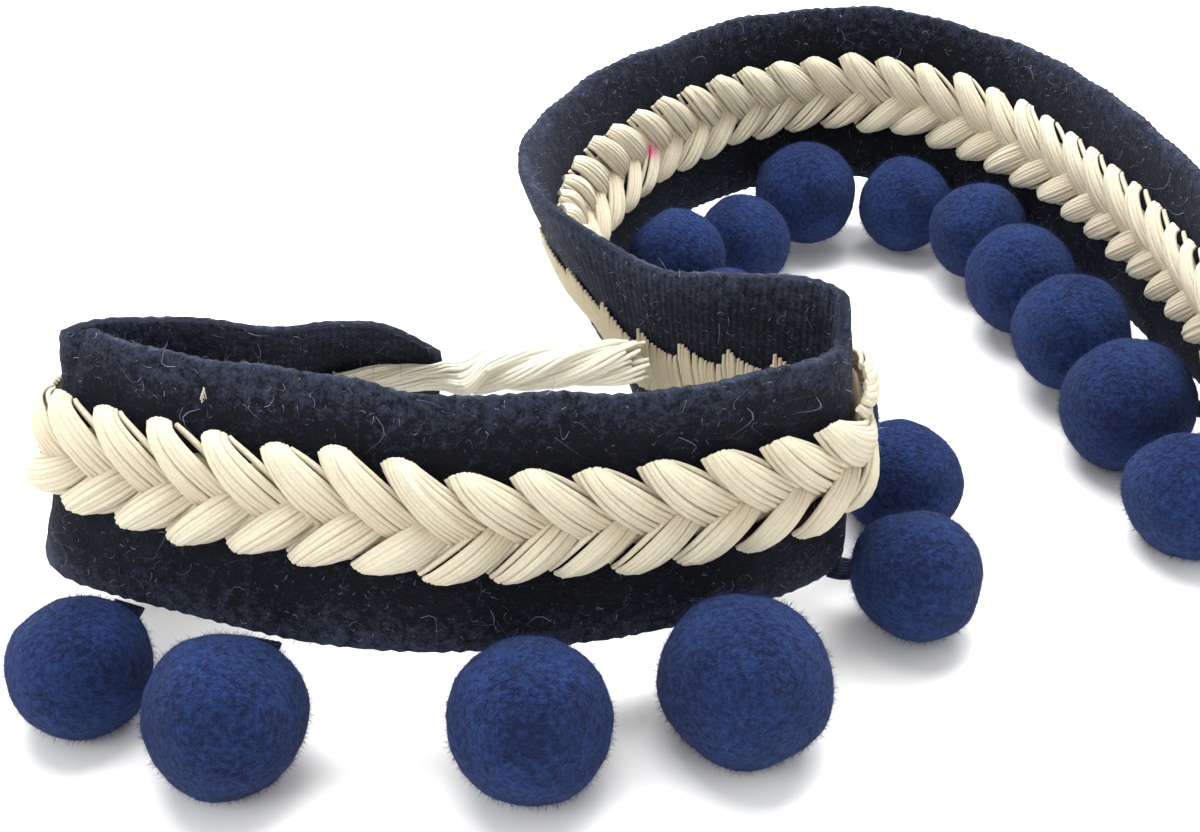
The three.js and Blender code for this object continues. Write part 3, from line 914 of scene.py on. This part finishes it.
# %% Table of pompoms
Pompom = namedtuple("Pompom", "root along out wide egg rise")
POMPOMS = [
    Pompom(13, 0, 8.4, 13.2, 0.02, 0), Pompom(31, 0, 8.1, 13.2, 0.02, 0),
    Pompom(49, -0.3, 7.2, 13, 0.02, 0), Pompom(63, 0.2, 9, 14.4, 0.02, 0),
    Pompom(84, 0.9, 9.4, 14.6, 0.01, 0), Pompom(102, 0.6, 10, 15.2, 0.1, 0),
    Pompom(119, -0.5, 8.2, 12.8, 0.02, 0.4), Pompom(124, -1, 12, 12.6, 0.01, 0.6),
    Pompom(135.8, -1.5, 14, 13.8, 0.02, 0.8), Pompom(178, 1, 15.4, 12.8, 0.02, 0.6),
    Pompom(190.4, 1.2, 6.8, 12.2, 0.02, 3.8), Pompom(208, 1.2, 10.6, 12.6, 0, 0),
    Pompom(228, 0.5, 8.3, 14, 0.01, 1.7), Pompom(252, -0.7, 7.6, 12.8, 0.02, 1),
    Pompom(269, 0.8, 7.4, 12.8, 0, 2.2), Pompom(284, 1, 11.4, 13.6, 0.02, 1.9),
    Pompom(300, 0.9, 11.7, 14, 0.01, 1.8), Pompom(316, 0.8, 10.7, 14.8, 0.02, 0.4),
    Pompom(331, 1.5, 8.3, 13.4, 0.01, 0),
]
EGG_WAY = np.array([0.62, -0.3, -0.72]) / math.sqrt(0.62 ** 2 + 0.3 ** 2 + 0.72 ** 2)


# %% Ball shape
def ball_reach(way, pompom, number):
    """How far the ball's surface is from its centre in each direction."""
    x, y, z = way.T
    lumps = np.sin(x * 3.1 + number * 1.9) * np.sin(y * 2.7 + number * 2.3)
    lumps += 0.7 * np.sin(z * 3.6 + x * 2.2 + number * 3.1)
    egg = pompom.egg * np.clip(way @ EGG_WAY, 0, None) ** 2
    dents = 0.008 * np.sin(x * 13 + number) * np.sin(y * 11 + z * 7 + number * 2)
    dents += 0.02 * np.sin(x * 5 + z * 4 + number * 1.3) * np.sin(y * 6 - z * 3 + number)
    return pompom.wide / 2 * (1 + 0.022 * lumps + egg + dents)


def ball_centre(pompom):
    ahead, _, _, _ = axes_at(np.array([float(pompom.root)]))
    right = np.array([ahead[0, 1], -ahead[0, 0], 0])
    centre = lay([[pompom.root, -TAPE_WIDTH / 2, 0]])[0]
    centre = centre + ahead[0] * pompom.along + right * pompom.out
    centre[2] = pompom.wide / 2 - BALL_FLAT + pompom.rise
    return centre


# %% Make the pompoms
pompom_sizes = {
    "Density": 9.0, "Shortest": 0.35, "Longest": 0.9, "Thickness": 0.03, "Curl": 0.5,
    "Lift low": 0.25, "Lift high": 1.9, "Joints": 1, "Seed": 11,
}
pompom_tree = fuzz_tree("felt_fuzz", pompom_sizes, felt, keep_base=True)
for number, pompom in enumerate(POMPOMS, 1):
    centre = ball_centre(pompom)
    bpy.ops.mesh.primitive_ico_sphere_add(subdivisions=4, radius=1)
    ball = bpy.context.object
    base = ball.data
    bpy.data.objects.remove(ball)
    way = places(base)
    surface = centre + way * ball_reach(way, pompom, number)[:, None]
    surface[:, 2] = np.maximum(surface[:, 2], pompom.rise + 0.03 + 0.02 * way[:, 0])
    move_to(base, surface)
    mark(base, "open", surface[:, 2] > pompom.rise + 0.4)
    mark(base, "shade", 0.3)
    mesh = grow(f"felt_ball_{number:02d}", base, pompom_tree, {**pompom_sizes, "Seed": number})
    move_to(mesh, np.maximum(places(mesh), [-1e9, -1e9, 0.01]))
    solid = np.mean(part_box(f"pompom_{number:02d}"), axis=0) / MM
    print("centre", centre.round(2), "solid's centre", solid.round(2))
    finish_piece(f"felt_ball_{number:02d}", mesh, felt, [f"pompom_{number:02d}"])

# %% [markdown]
# ## The tabs
# A short tab of navy yarn holds each pompom. It is a few strands side by side that come from
# under the tape's edge and go into the ball. A flat strip would be simpler, but the strands show
# where a tab is seen from above. They are drawn as lines, because each ends at its own two
# pieces, and a tree turns every line into yarn.

# %% Yarn tree
yarn_sizes = {"Yarn radius": 0.3, "Sides": 5, "Taper": 0.0}


def yarn_tree(name, material):
    tree, base, size = new_tree(name, yarn_sizes)
    curves = add(tree, "GeometryNodeMeshToCurve", {0: base}).outputs[0]
    order = Number(add(tree, "GeometryNodeInputIndex").outputs[0])
    curves = store(tree, curves, "shade", random(tree, 0.0, 1.0, order, 5), "CURVE")
    w = spline_share(tree)
    radius = size["Yarn radius"] * (1.0 - w * size["Taper"])
    close_tree(tree, thicken(tree, curves, radius, size["Sides"], {"along": w * 6.0}), material)
    return tree


def lines_mesh(name, lines):
    """One mesh of edges from a list of lines, each an array of points."""
    points, edges = [], []
    for line in lines:
        first = len(points)
        points.extend(line)
        edges.extend((first + i, first + i + 1) for i in range(len(line) - 1))
    return mesh_of(name, points, edges=edges)


# %% Strands of the tabs
navy_yarn, tree, shader = new_material("navy_yarn", 0.95, 0.4, screen(120, 130, 170))
object_place = add(tree, "ShaderNodeTexCoord").outputs["Object"]
knots = noise(tree, object_place, 1100.0, 4.0, 0.7)
light = (knots * 1.6 - 0.5).least(0.0).most(1.0)
colour = blend(tree, light, screen(18, 22, 38), screen(52, 62, 92))
tree.links.new(colour, shader.inputs["Base Color"])
tree.links.new(bump(tree, knots, 0.0005, 0.8), shader.inputs["Normal"])


def tab_strands(pompom, number):
    ahead, up, out, _ = axes_at(np.array([float(pompom.root)]))
    centre = ball_centre(pompom)
    edge = lay([[pompom.root, lower_edge(pompom.root), 0]])[0]
    start = edge - up[0] * (SEAT + 0.55) - out[0] * 0.5
    strands = []
    for side in np.linspace(-1.35, 1.35, 6):
        begin = start + ahead[0] * side
        inward = (centre - begin) / np.linalg.norm(centre - begin)
        reach = ball_reach(-inward[None], pompom, number)[0]
        stop = centre - inward * (reach - 0.5) + ahead[0] * side * 0.25
        share = np.linspace(0, 1, 7)[:, None]
        line = begin + (stop - begin) * share
        line[:, 2] -= 0.25 * np.sin(share[:, 0] * math.pi)
        strands.append(line)
    return strands


strands = [s for number, pompom in enumerate(POMPOMS, 1) for s in tab_strands(pompom, number)]
tab_mesh = grow("tab_yarn", lines_mesh("tab_lines", strands), yarn_tree("tab_yarn", navy_yarn),
                {"Yarn radius": 0.36, "Sides": 6, "Taper": 0.1})
tab_nodes = [f"tab_{number:02d}" for number in range(1, len(POMPOMS) + 1)]
finish_piece("tab_yarn", tab_mesh, navy_yarn, tab_nodes)

# %% [markdown]
# ## The tape's nap
# The brushed tape has two kinds of fibre: a dense short nap, and longer curled fibres that
# catch the light. A bump alone would leave the selvedges as smooth as card. Both kinds are grown
# on a copy of the finished tape by the fuzz tree, but not where the plait or the band covers it.

# %% Grow the nap
UNDER_PLAIT = 5.7
UNDER_BAND = 3.6
bare = mesh_of("bare_tape", lay(tape_flat), tape_faces)
outward(bare)
front = tape_flat[:, 2] > 0
off_plait = np.abs(tape_flat[:, 1] - PLAIT_RISE) > UNDER_PLAIT
clear = np.where(front, off_plait, np.abs(tape_flat[:, 1]) > UNDER_BAND)
mark(bare, "open", clear)
nap_sizes = {
    "Density": 0.55, "Shortest": 0.35, "Longest": 1.0, "Thickness": 0.05, "Curl": 0.7,
    "Lift low": 0.2, "Lift high": 1.2, "Joints": 2, "Seed": 21,
}
nap_tree = fuzz_tree("tape_nap", nap_sizes, loose, keep_base=False)
nap_mesh = grow("tape_nap", bare.copy(), nap_tree, nap_sizes)
finish_piece("tape_nap", nap_mesh, loose)
curl_sizes = {
    **nap_sizes, "Density": 0.075, "Shortest": 1.3, "Longest": 4.0, "Thickness": 0.011,
    "Curl": 0.95, "Joints": 5, "Lift high": 0.9, "Seed": 22,
}
curl_mesh = grow("tape_curls", bare.copy(), nap_tree, curl_sizes)
finish_piece("tape_curls", curl_mesh, loose)

# %% Pale lint of the plait
swollen_core = mesh_of("lint_base", lay_plait(core_flat * [1, 1.3, 2.4]), core_faces)
outward(swollen_core)
mark(swollen_core, "open", 1)
lint_sizes = {
    **nap_sizes, "Density": 0.05, "Shortest": 0.6, "Longest": 2.4, "Thickness": 0.01,
    "Curl": 0.9, "Joints": 5, "Lift high": 1.3, "Seed": 23,
}
lint_tree = fuzz_tree("plait_lint", lint_sizes, cream, keep_base=False)
lint_mesh = grow("plait_lint", swollen_core, lint_tree, lint_sizes)
finish_piece("plait_lint", lint_mesh, cream)

# %% One fleck of cream lint on the tape
fleck_lines = [
    lay([[56.5 + a * w, 9.6 - 0.9 * w + 0.3 * b * math.sin(3 * w), 1.15 + 0.35 * math.sin(3 * w)]
         for w in np.linspace(0, 1, 7)])
    for a, b in ((0.1, 1), (-0.25, -1), (0.3, 2), (0, -2), (-0.1, 0))]
fleck_mesh = grow("tape_fleck", lines_mesh("fleck_lines", fleck_lines),
                  yarn_tree("fleck_yarn", cream), {"Yarn radius": 0.07, "Sides": 5, "Taper": 0.5})
finish_piece("tape_fleck", fleck_mesh, cream)

# %% [markdown]
# The tape is the one sheet of cloth. Its cut size is its length by its width. It stands on the row
# of pompoms along its edge.

# %% [markdown]
# ## Floor, light and camera
# The trim stands on a white table under a large soft light, so the floor is almost pure white
# and the shadows are soft and close to the pompoms. A sun lamp would be simpler, but its
# shadows are hard. The camera stands where the picture was taken from, as far as a fit of the
# tape's edges and the pompoms can tell.

# %% Floor
white, _, shader = new_material("white_table", 0.9, 0.0, screen(255, 255, 255))
shader.inputs["Base Color"].default_value = (0.93, 0.93, 0.93, 1)
REACH = 3.0
corners = [(x * REACH, y * REACH, 0) for x, y in ((-1, -1), (1, -1), (1, 1), (-1, 1))]
floor = bpy.data.objects.new("table", mesh_of("table", corners, [(0, 1, 2, 3)]))
floor.data.materials.append(white)
bpy.context.scene.collection.objects.link(floor)


# %% Light
def soft_light(name, place, aim, size, power):
    """A round lamp at a place in metres, turned to face its aim."""
    lamp = bpy.data.lights.new(name, "AREA")
    lamp.shape, lamp.size, lamp.energy = "DISK", size, power
    light = bpy.data.objects.new(name, lamp)
    light.location = place
    way = np.array(aim, dtype=float) - np.array(place)
    light.rotation_euler = (
        math.atan2(math.hypot(way[0], way[1]), -way[2]), 0,
        math.atan2(way[1], way[0]) - math.pi / 2)
    bpy.context.scene.collection.objects.link(light)
    print(name, power, "watts")


soft_light("softbox_above", (-0.08, 0.2, 0.55), (0, 0, 0.01), 0.5, 5.2)
soft_light("softbox_back", (0.12, 0.16, 0.3), (0.03, 0.04, 0.01), 0.2, 0.9)
soft_light("softbox_left", (-0.55, -0.35, 0.35), (0, 0, 0.02), 0.4, 1.6)
world = bpy.data.worlds.new("white_room")
world.use_nodes = True
world.node_tree.nodes["Background"].inputs[0].default_value = (1, 1, 1, 1)
world.node_tree.nodes["Background"].inputs[1].default_value = 0.92
bpy.context.scene.world = world
bpy.context.scene.view_settings.view_transform = "Standard"

# %% Camera
CAMERA_PLACE = (-7.249, -160.432, 107.3)
LOOK_DOWN = 33
camera_data = bpy.data.cameras.new("camera")
camera_data.lens, camera_data.sensor_width = 49.5, 36
camera_data.clip_start = 0.01
camera = bpy.data.objects.new("camera", camera_data)
camera.location = [length * MM for length in CAMERA_PLACE]
camera.rotation_euler = (math.radians(90 - LOOK_DOWN), 0, 0)
bpy.context.scene.collection.objects.link(camera)
bpy.context.scene.camera = camera
print("camera at", CAMERA_PLACE, "mm, looking", LOOK_DOWN, "degrees down")
